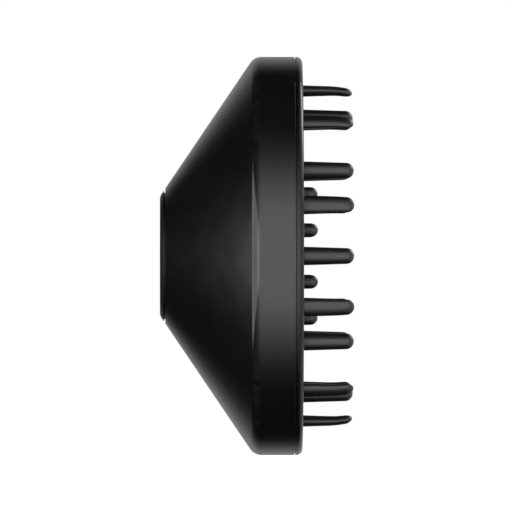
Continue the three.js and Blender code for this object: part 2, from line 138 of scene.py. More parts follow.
AIR_HOLE_R = 1.6
AIR_HOLES = [(53.0, 10, 0.0), (26.7, 16, 0.0), (20.2, 8, 0.0), (14.2, 8, 0.0)]  # (circle, count, angle)
SHELF_SLOTS = {"count": 20, "first": 9.0, "width": 2.6, "ends": (45.6, 55.6)}
SLOPE_SLOTS = {"count": 40, "first": 4.5, "width": 2.2, "ends": (30.8, 39.4)}
CLAMP_SLOTS = {"count": 20, "first": 9.0, "width": 3.8, "ends": (44.4, 60.0)}
CENTRE_CLAMP_SLOTS = {"count": 8, "first": 0.0, "width": 4.4, "ends": (12.0, 30.0)}
SCREEN_SLOTS = {"count": 20, "first": 9.0, "width": 7.0, "ends": (40.0, 53.0)}
CLAMP_RING_INNER_R = 42.9
SCREEN_INNER_R = 34.2

SCREW_HOLE_R = 1.4
SCREW_PILOT_R = 1.3
PILOT_PLAY = 0.2  # from a screw's point to the end of its hole
SHELL_SCREWS = {"at": 25.0, "count": 3, "first": 90.0, "seat": 13.0, "end": 6.9, "boss_r": 2.8,
                "boss_x": 10.2, "pad_r": 3.7, "pad_x": 10.4, "head_r": 2.3, "head": 1.5}
CLAMP_SCREWS = {"at": 45.6, "count": 5, "first": 18.0, "end": 41.6, "boss_r": 2.5,
                "head_r": 2.1, "head": 1.4}
CENTRE_SCREW_HEAD = (2.8, 1.7)  # radius and height
THREAD = {"depth": 0.22, "pitch": 0.8, "core": 0.88, "sharpness": 1.5, "run_in": 0.6, "run_out": 0.9}
SCREW_POINT = (1.1, 0.45)  # length, and radius at its end as a share of the shank's
SCREW_HEAD = [(0.0, 0.7), (0.04, 0.9), (0.12, 0.97), (0.3, 1.0), (0.85, 1.0), (0.97, 0.96), (1.0, 0.9)]
SCREW_RECESS = {"reach": 0.55, "half_width": 0.1, "depth": 0.6}  # shares of the head's radius and height

DEFLECTOR = {"r": 15.6, "wall": 1.6, "post_r": 3.4}
CAP_HOLLOW = (33.5, 3.4)  # x and radius

LARGE_SIDES = 288
SMALL_SIDES = 160
ROD_SIDES = 32
PRONG_SIDES = 40
PRONG_STEPS = 12
THREAD_STEPS = 8  # along one turn
PLATE_STEP = 1.3  # largest step between the circles of points on the face plate
PLATE_SIDES = [(9.0, 60), (27.0, 120), (math.inf, 240)]  # (up to this radius, points round a circle)
ARC_STEP = math.radians(12)
SHARP = math.radians(38)  # angle between faces from which an edge isn't shaded smooth


def span(node):
    """(rear x, front x, outer radius) of a round node."""
    low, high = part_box(node)
    return low.x * MM, high.x * MM, high.z * MM


SEAT_X, STEP_X, LIP_R = span("seat_ring")
SHELL_X, BAND_END_X, BAND_R = span("outer_shell")
CONE_SLOPE = (BAND_R - LIP_R) / (CONE_END_X - LIP_X)
AXIAL_PER_WALL = math.hypot(1, CONE_SLOPE) / CONE_SLOPE


def cone_x(r, inset=0.0):
    """x at a radius on the cone, or on a surface inset from it."""
    return LIP_X + (r - LIP_R) / CONE_SLOPE + inset * AXIAL_PER_WALL


def cone_r(x, inset=0.0):
    """Radius at x on the cone, or on a surface inset from it."""
    return LIP_R + (x - LIP_X - inset * AXIAL_PER_WALL) * CONE_SLOPE


# ---- Solids: (points, faces) ----


def at(x, r, degrees):
    """The point at x, r away from the axis, at an angle about it."""
    angle = math.radians(degrees)
    return x, -r * math.cos(angle), r * math.sin(angle)


def skin(rows, closed=False):
    """The surface through rows of points. A row of one point is a pole."""
    points = [point for row in rows for point in row]
    starts = [0]
    for row in rows:
        starts.append(starts[-1] + len(row))
    sides = max(len(row) for row in rows)
    faces = []
    for i in range(len(rows) if closed else len(rows) - 1):
        k = (i + 1) % len(rows)
        for j in range(sides):
            here, here_next = [starts[i] + side % len(rows[i]) for side in (j, j + 1)]
            there, there_next = [starts[k] + side % len(rows[k]) for side in (j, j + 1)]
            face = list(dict.fromkeys([here, here_next, there_next, there]))
            if len(face) > 2:
                faces.append(face)
    return points, faces


def bulges(corners, before, after):
    """Whether an outline's corner, between two directions, points outwards."""
    area = sum(a[0] * b[1] - b[0] * a[1] for a, b in zip(corners, corners[1:] + corners[:1]))
    return (before.x * after.y - before.y * after.x) * area < 0


def rounded(corners, closed=True):
    """(x, r, wear) points through (x, r, fillet) corners, worn where a corner points outwards."""
    outline = []
    for i, (x, r, fillet) in enumerate(corners):
        if fillet == 0 or not closed and i in (0, len(corners) - 1):
            outline.append((x, r, 0.0))
            continue
        corner = Vector((x, r, 0))
        before = (Vector((*corners[i - 1][:2], 0)) - corner).normalized()
        after = (Vector((*corners[(i + 1) % len(corners)][:2], 0)) - corner).normalized()
        half = before.angle(after) / 2
        centre = corner + (before + after).normalized() * fillet / math.sin(half)
        start = corner + before * fillet / math.tan(half) - centre
        end = corner + after * fillet / math.tan(half) - centre
        worn = 1.0 if bulges(corners, before, after) else 0.0
        steps = max(2, math.ceil((math.pi - 2 * half) / ARC_STEP))
        for step in range(steps + 1):
            spoke = start.slerp(end, step / steps) * fillet
            wear = worn * math.sin(math.pi * step / steps)
            outline.append((centre.x + spoke.x, centre.y + spoke.y, wear))
    return outline


def ellipse(centre_x, radii, first, last, steps):
    """(x, r, wear) points on an ellipse about a point of the axis, from one angle off +X to another."""
    outline = []
    for step in range(steps + 1):
        angle = math.radians(first + (last - first) * step / steps)
        outline.append((centre_x + radii[0] * math.cos(angle), max(0.0, radii[1] * math.sin(angle)), 0.0))
    return outline


def turned(outline, sides=LARGE_SIDES):
    """An outline turned about the X axis. It closes on itself, or starts and ends on the axis."""
    rows = []
    for x, r, wear in outline:
        count = 1 if r < TINY else sides
        rows.append([(*at(x, r, 360 * j / count), wear) for j in range(count)])
    return skin(rows, closed=len(rows[0]) > 1)


def stepped_rod(steps, end_x):
    """Coaxial cylinders about the X axis, each from its own (x, radius) to where the next one starts."""
    ends = [x for x, _ in steps[1:]] + [end_x]
    outline = [(steps[0][0], 0, 0)]
    for (x, r), end in zip(steps, ends):
        outline += [(x, r, 0), (end, r, 0)]
    return turned(outline + [(end_x, 0, 0)], ROD_SIDES)


def rod(radius, ends):
    return stepped_rod([(ends[0], radius)], ends[1])


def block(rear, size, edge=0.0):
    """A block of (x, radial, tangential) size about the X axis, with rounded edges if edge isn't 0."""
    work = bmesh.new()
    bmesh.ops.create_cube(work, size=1.0)
    for vertex in work.verts:
        vertex.co = Vector([share * length for share, length in zip(vertex.co, size)])
        vertex.co.x += rear + size[0] / 2
    if edge:
        bmesh.ops.bevel(work, geom=work.edges, offset=edge, segments=4, profile=0.5, affect="EDGES")
    points = [(*vertex.co, 0.0) for vertex in work.verts]
    faces = [[vertex.index for vertex in face.verts] for face in work.faces]
    work.free()
    return points, faces


def placed(solid, radius, degrees):
    """A solid made about the X axis, moved out to a radius and round to an angle."""
    points, faces = solid
    cos, sin = math.cos(math.radians(degrees)), math.sin(math.radians(degrees))
    moved = []
    for x, y, z, wear in points:
        away = y - radius
        moved.append((x, away * cos + z * sin, z * cos - away * sin, wear))
    return moved, faces


def evenly(shape, radius, count, first):
    """A shape's even places on a circle about the X axis, each as (shape, radius, angle)."""
    return [(shape, radius, first + 360 * i / count) for i in range(count)]


def repeated(solid, radius, count, first):
    """Copies of a solid spaced evenly on a circle about the X axis."""
    return [placed(*place) for place in evenly(solid, radius, count, first)]


def stadium(half_length, half_width, offset, steps=8):
    """(radial, tangential) points round a slot with round ends, at an offset from its wall."""
    straight = half_length - half_width
    loop = []
    for side in (1, -1):
        for step in range(steps + 1):
            angle = math.radians(-90 + 180 * step / steps)
            radial = straight + (half_width + offset) * math.cos(angle)
            loop.append((side * radial, side * (half_width + offset) * math.sin(angle)))
        for step in range(1, steps):
            share = 1 - 2 * step / steps
            loop.append((side * straight * share, side * (half_width + offset)))
    return loop


def oval(half_radial, half_tangential, offset, steps=36):
    """(radial, tangential) points round an ellipse, at an offset from it."""
    radial, tangential = half_radial + offset, half_tangential + offset
    angles = [math.tau * step / steps for step in range(steps)]
    return [(radial * math.cos(angle), tangential * math.sin(angle)) for angle in angles]


def prism(loop, ends):
    """A flat (radial, tangential) loop about the X axis, drawn out between two places on it."""
    rows = [[(ends[0], 0.0, 0.0, 0.0)]]
    rows += [[(x, -radial, tangential, 0.0) for radial, tangential in loop] for x in ends]
    rows += [[(ends[1], 0.0, 0.0, 0.0)]]
    return skin(rows)


def slot_shape(slots):
    """A radial slot's half length and half width, and the radius of the circle its middle is on."""
    inner, outer = slots["ends"]
    return (outer - inner) / 2, slots["width"] / 2, (inner + outer) / 2


def slot_cutters(slots, ends):
    """Blocks with round ends that cut radial slots through a piece between two places on the axis."""
    half_length, half_width, radius = slot_shape(slots)
    cutter = prism(stadium(half_length, half_width, 0.0), ends)
    return repeated(cutter, radius, slots["count"], slots["first"])


def ahead_of_cone(solid, inset):
    """A solid whose points behind the cone's surface, or behind one inset from it, are moved onto it."""
    points, faces = solid
    return [(max(x, cone_x(math.hypot(y, z), inset)), y, z, wear) for x, y, z, wear in points], faces


def merged(solids):
    points, faces = [], []
    for more_points, more_faces in solids:
        faces += [[index + len(points) for index in face] for face in more_faces]
        points += more_points
    return points, faces


# ---- Meshes and pieces ----


def mesh_of(name, solid):
    """A smooth-shaded mesh in metres, with its faces out and wear as an attribute."""
    points, faces = solid
    mesh = bpy.data.meshes.new(name)
    mesh.from_pydata([(x / MM, y / MM, z / MM) for x, y, z, _ in points], [], faces)
    mesh.attributes.new("wear", "FLOAT", "POINT").data.foreach_set("value", [point[3] for point in points])
    work = bmesh.new()
    work.from_mesh(mesh)
    bmesh.ops.recalc_face_normals(work, faces=work.faces)
    for face in work.faces:
        face.smooth = True
    work.to_mesh(mesh)
    work.free()
    return mesh


def new_object(name, mesh):
    made = bpy.data.objects.new(name, mesh)
    bpy.context.scene.collection.objects.link(made)
    return made


def carved(name, solid, added=(), cut=(), edge=0.0):
    """The mesh of a solid with others joined to it and cut from it, and then its sharp edges rounded."""
    base = new_object(name, mesh_of(name, solid))
    helpers = []
    for operation, solids in (("UNION", added), ("DIFFERENCE", cut)):
        if solids:
            helpers.append(new_object("helper", mesh_of("helper", merged(solids))))
            boolean = base.modifiers.new(operation, "BOOLEAN")
            boolean.operation = operation
            boolean.solver = "EXACT"
            boolean.object = helpers[-1]
    if edge:
        bevel = base.modifiers.new("edges", "BEVEL")
        bevel.width = edge / MM
        bevel.segments = 2
        bevel.limit_method = "ANGLE"
        bevel.angle_limit = SHARP
    depsgraph = bpy.context.evaluated_depsgraph_get()
    mesh = bpy.data.meshes.new_from_object(base.evaluated_get(depsgraph))
    for made in (base, *helpers):
        bpy.data.objects.remove(made)
    return mesh


def mark_sharp(mesh):
    """Keeps the shading of a mesh from running over its sharp edges."""
    work = bmesh.new()
    work.from_mesh(mesh)
    for side in work.edges:
        side.smooth = side.calc_face_angle(0.0) < SHARP
    work.to_mesh(mesh)
    work.free()


def stand_in(node, mesh):
    """Shows a mesh in place of a CAD node, on the node's body and in its material."""
    mark_sharp(mesh)
    piece = new_object("fine_" + node, mesh)
    mesh.materials.clear()
    mesh.materials.append(MATERIALS[SLOT_OF[node]])
    normals = piece.modifiers.new("normals", "WEIGHTED_NORMAL")
    normals.weight = 100
    normals.keep_sharp = True
    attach(piece, BODY_OF[node])
    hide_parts(node)
    return piece


# ---- Materials ----

COLOUR_MIX = {"inputs": (0, 6, 7), "output": 2}  # a Mix node's sockets when it mixes colours


class Nodes:
    """Makes and links shader nodes in one tree."""

    def __init__(self, tree):
        self.tree = tree

    def feed(self, socket, value):
        if isinstance(value, bpy.types.NodeSocket):
            self.tree.links.new(value, socket)
        else:
            socket.default_value = value

    def node(self, kind, inputs, **settings):
        """A new node with some of its inputs fed."""
        made = self.tree.nodes.new("ShaderNode" + kind)
        for setting, value in settings.items():
            setattr(made, setting, value)
        for socket, value in inputs.items():
            self.feed(made.inputs[socket], value)
        return made

    def math(self, operation, *values):
        made = self.node("Math", {}, operation=operation)
        for socket, value in zip(made.inputs, values):
            self.feed(socket, value)
        return made.outputs["Value"]

    def ranged(self, value, low, high, onto=(0.0, 1.0), ease="LINEAR"):
        """A value's range from low to high stretched onto another range."""
        inputs = {"Value": value, "From Min": low, "From Max": high, "To Min": onto[0], "To Max": onto[1]}
        return self.node("MapRange", inputs, interpolation_type=ease).outputs["Result"]


class Shader(Nodes):
    """A Principled material and the nodes that drive it."""

    def __init__(self, name, **sockets):
        self.material = bpy.data.materials.new(name)
        self.material.use_nodes = True
        super().__init__(self.material.node_tree)
        self.principled = self.tree.nodes["Principled BSDF"]
        for socket, value in sockets.items():
            self.principled.inputs[socket.replace("_", " ")].default_value = value

    def place(self):
        return self.node("TexCoord", {}).outputs["Object"]

    def wear(self):
        return self.node("Attribute", {}, attribute_name="wear").outputs["Fac"]

    def noise(self, size, detail=2.0, place=None):
        """Noise from 0 to 1 whose patches are about size millimetres across."""
        inputs = {"Vector": place or self.place(), "Scale": MM / size, "Detail": detail}
        return self.node("TexNoise", inputs).outputs["Fac"]

    def blended(self, share, first, second):
        """A colour between two colours."""
        made = self.node("Mix", {}, data_type="RGBA")
        for socket, value in zip(COLOUR_MIX["inputs"], (share, first, second)):
            self.feed(made.inputs[socket], value)
        return made.outputs[COLOUR_MIX["output"]]

    def bumped(self, height, depth, strength=1.0):
        """Feeds the shader's normal with a relief whose depth is in millimetres."""
        inputs = {"Height": height, "Distance": depth / MM, "Strength": strength}
        self.feed(self.principled.inputs["Normal"], self.node("Bump", inputs).outputs["Normal"])

    def shown(self, colour, roughness):
        self.feed(self.principled.inputs["Base Color"], colour)
        self.feed(self.principled.inputs["Roughness"], roughness)
        return self.material


def grey(value, tint=0.0):
    """A grey, bluish with a positive tint and reddish with a negative one."""
    return value * (1 - tint), value, value * (1 + tint), 1.0


def moulded(name, shade, roughness, grain=0.45, depth=0.012, scuffs=0.06, **sockets):
    """Dark moulded plastic: cloudy shade, fine mould texture, faint scuffs, and lighter polished edges."""
    shader = Shader(name, **sockets)
    cloud = shader.ranged(shader.noise(22, 3), 0.3, 0.7)
    texture = shader.noise(grain, 3)
    rubbed = shader.math("MULTIPLY", shader.wear(), shader.ranged(shader.noise(3.5, 4), 0.35, 0.6))
    base = shader.blended(cloud, grey(shade * 0.8, 0.02), grey(shade * 1.15, 0.03))
    speckled = shader.blended(shader.ranged(texture, 0.58, 0.75, (0.0, 0.35)), base, grey(shade * 2.2))
    colour = shader.blended(rubbed, speckled, grey(shade * 2.6))
    rough_range = (roughness - scuffs / 2, roughness + scuffs / 2)
    scuffed = shader.ranged(shader.noise(7, 5), 0.35, 0.65, rough_range)
    polished = shader.math("SUBTRACT", scuffed, shader.math("MULTIPLY", rubbed, 0.1))
    shader.bumped(texture, depth)
    return shader.shown(colour, polished)


def silicone(name):
    """Soft dark rubber with a dusty sheen."""
    shader = Shader(name, Sheen_Weight=0.25, Sheen_Roughness=0.5, Specular_IOR_Level=0.35)
    dusty = shader.ranged(shader.noise(4, 5), 0.4, 0.75, (0.0, 0.5))
    colour = shader.blended(dusty, grey(0.006), grey(0.02))
    shader.bumped(shader.noise(0.7, 3), 0.02)
    return shader.shown(colour, shader.ranged(shader.noise(2, 3), 0.3, 0.7, (0.62, 0.78)))


def acetal(name):
    """Slippery off-white plastic, with grey rubbed marks."""
    shader = Shader(name, Subsurface_Weight=0.15, Subsurface_Scale=0.001)
    marks = shader.ranged(shader.noise(2.2, 5), 0.5, 0.75, (0.0, 0.4))
    colour = shader.blended(marks, (0.70, 0.68, 0.62, 1), (0.36, 0.35, 0.33, 1))
    shader.bumped(shader.noise(0.6, 2), 0.008)
    return shader.shown(colour, shader.ranged(shader.noise(3, 3), 0.3, 0.7, (0.35, 0.5)))


def laminate(name):
    """Green board laminate with the weave of its glass cloth."""
    shader = Shader(name, Coat_Weight=0.4, Coat_Roughness=0.2)
    split = shader.node("SeparateXYZ", {"Vector": shader.place()})
    threads = [shader.math("SINE", shader.math("MULTIPLY", split.outputs[axis], MM * 9)) for axis in "YZ"]
    weave = shader.ranged(shader.math("MULTIPLY", *threads), -1.0, 1.0)
    colour = shader.blended(weave, (0.010, 0.055, 0.028, 1), (0.020, 0.095, 0.045, 1))
    shader.bumped(weave, 0.01)
    return shader.shown(colour, shader.ranged(shader.noise(1.5, 2), 0.3, 0.7, (0.35, 0.5)))


def metal(name, shade, roughness, streak):
    """Plated metal with fine marks that run round the axis, and small dull stains."""
    shader = Shader(name, Metallic=1.0)
    split = shader.node("SeparateXYZ", {"Vector": shader.place()})
    squares = [shader.math("POWER", split.outputs[axis], 2.0) for axis in "YZ"]
    away = shader.math("SQRT", shader.math("ADD", *squares))
    marks_place = shader.node("CombineXYZ", {"X": split.outputs["X"], "Y": away}).outputs["Vector"]
    marks = shader.noise(streak, 4, marks_place)
    stains = shader.ranged(shader.noise(2.5, 4), 0.5, 0.75, (0.0, 0.5))
    colour = shader.blended(stains, grey(shade, 0.02), grey(shade * 0.6, -0.02))
    rough = shader.ranged(marks, 0.3, 0.7, (roughness - 0.08, roughness + 0.1))
    shader.bumped(marks, 0.004)
    return shader.shown(colour, shader.math("ADD", rough, shader.math("MULTIPLY", stains, 0.2)))


MATERIALS = {
    "shell_plastic": moulded("satin_shell", 0.0032, 0.2, scuffs=0.03),
    "rim_plastic": moulded(
        "glossy_rim", 0.0030, 0.2, grain=0.9, depth=0.004, scuffs=0.08, Specular_IOR_Level=0.34
    ),
    "face_plastic": moulded("matte_face", 0.0055, 0.4, grain=0.4, depth=0.018),
    "prong_plastic": moulded("satin_prongs", 0.0060, 0.3, scuffs=0.1),
    "coupling_plastic": moulded("satin_coupling", 0.0032, 0.42, Specular_IOR_Level=0.3),
    "liner_plastic": moulded("matte_liner", 0.010, 0.5, grain=0.6, depth=0.03),
    "silicone": silicone("dark_silicone"),
    "washer_plastic": acetal("white_acetal"),
    "tag_laminate": laminate("green_laminate"),
    "magnet_nickel": metal("nickel_plate", 0.58, 0.2, 0.25),
    "steel": metal("zinc_plate", 0.42, 0.32, 0.3),
}

# ---- Coupling ----


def ring(node, inner_r, fillet, sides=SMALL_SIDES):
    """A plain ring with rounded edges in a node's place."""
    rear, front, outer_r = span(node)
    corners = [(rear, inner_r), (rear, outer_r), (front, outer_r), (front, inner_r)]
    return turned(rounded([(*corner, fillet) for corner in corners]), sides)


def seat_ring():
    chamfer_r = cone_r(SEAT_CHAMFER)
    return turned(rounded([
        (SEAT_X, SOCKET_R, 0.25),
        (SEAT_X, cone_r(SEAT_X) - SEAT_CHAMFER, 0.3),
        (SEAT_CHAMFER, chamfer_r, 0.4),
        (LIP_X, LIP_R, 0.1),
        (LIP_X, STEP_R, 0.1),
        (STEP_X, STEP_R, 0.1),
        (STEP_X, NECK_R + FIT, 0.1),
        (SEAT_RING_X, NECK_R + FIT, 0.1),
        (SEAT_RING_X, SOCKET_R, 0.2),
    ]), SMALL_SIDES)


def coupling_ring():
    rear, front, flange_r = span("coupling_ring")
    groove_x, groove_in, groove_out = POLE_GROOVE
    shoulder_x, shoulder_r = SHOULDER
    body = turned(rounded([
        (rear, SOCKET_R, 0.1),
        (rear, NECK_R, 0.1),
        (FLANGE_X[0], NECK_R, 0.2),
        (FLANGE_X[0], flange_r, 0.25),
        (FLANGE_X[1], flange_r, 0.25),
        (FLANGE_X[1], NECK_R, 0.2),
        (front, NECK_R, 0.15),
        (front, groove_out, 0.1),
        (groove_x, groove_out, 0.1),
        (groove_x, groove_in, 0.1),
        (front, groove_in, 0.1),
        (front, shoulder_r, 0.3),
        (shoulder_x, shoulder_r, 0.2),
        (shoulder_x, SOCKET_R, 0.1),
    ]), SMALL_SIDES)
    pockets = []
    for held, depth in ((MAGNET, groove_x + FIT), (TAG, TAG["x"] + TAG["size"][0] + FIT)):
        size = (depth, held["size"][1] + 2 * FIT, held["size"][2] + 2 * FIT)
        pockets += repeated(block(0.0, size), held["at"], held.get("count", 1), held.get("angle", 0.0))
    return carved("coupling_ring", body, cut=pockets)


def add_coupling():
    stand_in("seat_ring", mesh_of("seat_ring", seat_ring()))
    stand_in("coupling_ring", coupling_ring())
    stand_in("pole_ring", mesh_of("pole_ring", ring("pole_ring", POLE_GROOVE[1] + FIT, 0.12)))
    stand_in("nose_seal", mesh_of("nose_seal", ring("nose_seal", SHOULDER[1], 0.3)))
    magnet = block(MAGNET["x"], MAGNET["size"], 0.2)
    for i, solid in enumerate(repeated(magnet, MAGNET["at"], MAGNET["count"], 0.0)):
        stand_in(f"magnet_{i + 1}", mesh_of("magnet", solid))
    tag = placed(block(TAG["x"], TAG["size"], 0.08), TAG["at"], TAG["angle"])
    stand_in("id_tag", mesh_of("id_tag", tag))


# ---- Shells ----


def outer_shell():
    step_x = STEP_X + SHELL_X - LIP_X
    body = turned(rounded([
        (step_x, NECK_R + RUN, 0.15),
        (step_x, STEP_R + RUN, 0.1),
        (SHELL_X, STEP_R + RUN, 0.1),
        (SHELL_X, cone_r(SHELL_X), 0.15),
        (CONE_END_X, BAND_R, CORNER_R),
        (BAND_END_X, BAND_R, 0.15),
        (BAND_END_X, BAND_INNER_R, 0.2),
        (cone_x(BAND_INNER_R, OUTER_WALL), BAND_INNER_R, 1.0),
        (RECESS_X, cone_r(RECESS_X, OUTER_WALL), 0.5),
        (RECESS_X, NECK_R + RUN, 0.15),
    ]))
    screws = SHELL_SCREWS
    circle = (screws["at"], screws["count"], screws["first"])
    bosses = repeated(rod(screws["boss_r"], (SHELL_X, screws["boss_x"])), *circle)
    bosses = [ahead_of_cone(boss, OUTER_WALL / 2) for boss in bosses]
    pilot = rod(SCREW_PILOT_R, (screws["end"] - PILOT_PLAY, screws["boss_x"] + 1))
    pocket_size = [length + 2 * RUN for length in SNAP_TABS["size"]]
    pockets = repeated(block(SNAP_TABS["x"] - RUN, pocket_size), SNAP_TABS["at"], SNAP_TABS["count"], 0.0)
    return carved("outer_shell", body, added=bosses, cut=repeated(pilot, *circle) + pockets)


def inner_shell():
    outside = OUTER_WALL + AIR_GAP
    inside = outside + INNER_WALL
    front = span("inner_shell")[1]
    body = turned(rounded([
        (HUB[0], NECK_R + RUN, 0.2),
        (HUB[0], HUB[1], 0.2),
        (cone_x(HUB[1], outside), HUB[1], 0.1),
        (cone_x(INNER_SKIRT_R[1], outside), INNER_SKIRT_R[1], 1.5),
        (front, INNER_SKIRT_R[1], 0.3),
        (front, INNER_SKIRT_R[0], 0.3),
        (cone_x(INNER_SKIRT_R[0], inside), INNER_SKIRT_R[0], 1.5),
        (cone_x(FLARE_END_R, inside), FLARE_END_R, 6.0),
        (THROAT[0], THROAT[1], 0.12),
        (THROAT[0], NECK_R + RUN, 0.2),
    ]))
    screws = SHELL_SCREWS
    circle = (screws["at"], screws["count"], screws["first"])
    pad = rod(screws["pad_r"], (screws["pad_x"] - FIT, screws["seat"] + FIT))
    bore = stepped_rod([
        (SHELL_X, screws["boss_r"] + RUN),
        (screws["pad_x"], SCREW_HOLE_R),
        (screws["seat"], screws["head_r"] + RUN),
    ], cone_x(FLARE_END_R, inside))
    return carved("inner_shell", body, added=repeated(pad, *circle), cut=repeated(bore, *circle))


def add_shells():
    stand_in("outer_shell", outer_shell())
    stand_in("inner_shell", inner_shell())
    stand_in("swivel_washer", mesh_of("swivel_washer", ring("swivel_washer", NECK_R + RUN, 0.2)))


# ---- Face plate ----


def plate_profiles():
    """The face plate's front and back as (r, x) points from the middle out."""
    outer_r = span("face_plate")[2]
    slope = math.atan2(SHELF_X - FLOOR_X, SLOPE_TOP_R - SLOPE_FOOT_R)
    shift = PLATE * math.tan(slope / 2)
    middle = SHELF_X - PLATE / 2
    wide_bend = SLOPE_BEND_R + PLATE
    front = rounded([
        (FLOOR_X, 0.0, 0.0),
        (FLOOR_X, SLOPE_FOOT_R, SLOPE_BEND_R),
        (SHELF_X, SLOPE_TOP_R, wide_bend),
        (SHELF_X, outer_r, HOLE_EDGE),
        (middle, outer_r, 0.0),
    ], closed=False)
    back = rounded([
        (FLOOR_X - PLATE, 0.0, 0.0),
        (FLOOR_X - PLATE, SLOPE_FOOT_R + shift, wide_bend),
        (SHELF_X - PLATE, SLOPE_TOP_R + shift, SLOPE_BEND_R),
        (SHELF_X - PLATE, outer_r, HOLE_EDGE),
        (middle, outer_r, 0.0),
    ], closed=False)
    return [[(r, x) for x, r, _ in outline[:-1]] for outline in (front, back)]


def plate_holes():
    """The face plate's holes, each as (function of the offset that gives its outline, radius, angle)."""
    holes = [(partial(oval, SCREW_HOLE_R, SCREW_HOLE_R), 0.0, 0.0)]
    for prong in PRONGS.values():
        outline = partial(oval, *[half + RUN for half in prong["base"]])
        holes += evenly(outline, prong["at"], prong["count"], prong["first"])
    for air_holes in AIR_HOLES:
        holes += evenly(partial(oval, AIR_HOLE_R, AIR_HOLE_R, steps=24), *air_holes)
    for slots in (SHELF_SLOTS, SLOPE_SLOTS):
        half_length, half_width, radius = slot_shape(slots)
        holes += evenly(partial(stadium, half_length, half_width), radius, slots["count"], slots["first"])
    return holes


def on_plate(loop, radius, degrees):
    """(radial, tangential) points about a place on a circle, as (y, z) points."""
    cos, sin = math.cos(math.radians(degrees)), math.sin(math.radians(degrees))
    return [(-(radius + u) * cos + v * sin, (radius + u) * sin + v * cos) for u, v in loop]


def plate_bosses():
    """Screw bosses on the plate's back: loops of (radius of the loop, x of the back surface)."""
    back_x = SHELF_X - PLATE
    boss_x = back_x - FOOT_HEIGHT
    boss_r = CLAMP_SCREWS["boss_r"]
    pit_x = CLAMP_SCREWS["end"] + PILOT_PLAY
    loops = [(boss_r + 0.25, back_x), (boss_r, back_x - 0.25), (boss_r - 0.05, boss_x + 0.15)]
    loops += [(boss_r - 0.2, boss_x), (SCREW_PILOT_R + 0.1, boss_x), (SCREW_PILOT_R, boss_x + 0.1)]
    loops += [(SCREW_PILOT_R - 0.05, pit_x)]
    return evenly(loops, CLAMP_SCREWS["at"], CLAMP_SCREWS["count"], CLAMP_SCREWS["first"])


class Plate:
    """A plate drawn flat in the YZ plane, with a front and a back surface above the same points."""

    def __init__(self, front, back):
        self.profiles = [np.array(front), np.array(back)]
        self.flat = []
        self.edges = []
        self.wall_of = []  # the hole whose wall a point is on, or None
        self.depth = []  # how far the point is set back from both profiles
        self.back_x = []  # x of the back surface, where it isn't the profile's
        self.taken = []  # outlines that the even grid keeps out of

    def add_loop(self, loop, wall_of=None, depth=0.0, back_x=None):
        start, count = len(self.flat), len(loop)
        self.flat += loop
        self.edges += [(start + i, start + (i + 1) % count) for i in range(count)]
        self.wall_of += [wall_of] * count
        self.depth += [depth] * count
        self.back_x += [back_x] * count

    def add_hole(self, number, outline, radius, degrees):
        for turn in (90, 60, 30, 0):
            offset = HOLE_EDGE * (1 - math.sin(math.radians(turn)))
            depth = HOLE_EDGE * (1 - math.cos(math.radians(turn)))
            wall_of = number if turn == 90 else None
            self.add_loop(on_plate(outline(offset), radius, degrees), wall_of, depth)
        self.taken.append(on_plate(outline(2 * HOLE_EDGE), radius, degrees))

    def add_boss(self, loops, radius, degrees):
        for loop_r, back_x in loops:
            self.add_loop(on_plate(oval(loop_r, loop_r, 0.0), radius, degrees), back_x=back_x)
        widest = loops[0][0] + HOLE_EDGE
        self.taken.append(on_plate(oval(widest, widest, 0.0), radius, degrees))

    def add_grid(self, largest_step):
        """Points on circles, at the profiles' own radii and evenly between them, outside what is taken."""
        own = sorted({round(r, 4) for profile in self.profiles for r in profile[:, 0]})
        radii = []
        for inner, outer in zip(own, own[1:]):
            steps = max(1, math.ceil((outer - inner) / largest_step))
            radii += [inner + (outer - inner) * i / steps for i in range(1, steps + 1)]
        grid = []
        for r in radii:
            sides = next(count for limit, count in PLATE_SIDES if r < limit)
            grid += [at(0, r, 360 * j / sides)[1:] for j in range(sides)]
        grid = np.array(grid)
        free = np.ones(len(grid), bool)
        for outline in self.taken:
            free &= ~inside(grid, np.array(outline))
        for point in grid[free]:
            self.add_point(tuple(point))

    def add_point(self, point):
        self.flat.append(point)
        self.wall_of.append(None)
        self.depth.append(0.0)
        self.back_x.append(None)

    def solid(self):
        given = [Vector(point) for point in self.flat]
        flat, _, faces, origins, _, _ = delaunay_2d_cdt(given, self.edges, [], 0, TINY)
        source = [ids[0] for ids in origins]
        faces = [face for face in faces if not self.in_hole([source[i] for i in face])]
        radius = [point.length for point in flat]
        front_x, back_x = [np.interp(radius, profile[:, 0], profile[:, 1]) for profile in self.profiles]
        points = []
        for i, (y, z) in enumerate(flat):
            depth = self.depth[source[i]]
            points.append((front_x[i] - depth, y, z, 1.0 if 0 < depth < HOLE_EDGE else 0.0))
        for i, (y, z) in enumerate(flat):
            own_x = self.back_x[source[i]]
            points.append((back_x[i] + self.depth[source[i]] if own_x is None else own_x, y, z, 0.0))
        return points, faces + self.back_and_walls(faces, len(flat))

    def in_hole(self, sources):
        walls = {self.wall_of[i] for i in sources}
        return len(walls) == 1 and None not in walls

    def back_and_walls(self, faces, count):
        """The same faces on the back, and walls along the edges that only one front face has."""
        sides = {(a, b) for face in faces for a, b in zip(face, face[1:] + face[:1])}
        walls = [[b, a, a + count, b + count] for a, b in sides if (b, a) not in sides]
        return [[i + count for i in reversed(face)] for face in faces] + walls


def inside(points, outline):
    """Which points are inside a convex outline, both as arrays of (y, z)."""
    result = np.ones(len(points), bool)
    centre = outline.mean(axis=0)
    for a, b in zip(outline, np.roll(outline, -1, axis=0)):
        edge = b - a
        side = edge[0] * (points[:, 1] - a[1]) - edge[1] * (points[:, 0] - a[0])
        middle = edge[0] * (centre[1] - a[1]) - edge[1] * (centre[0] - a[0])
        result &= side * middle > 0
    return result


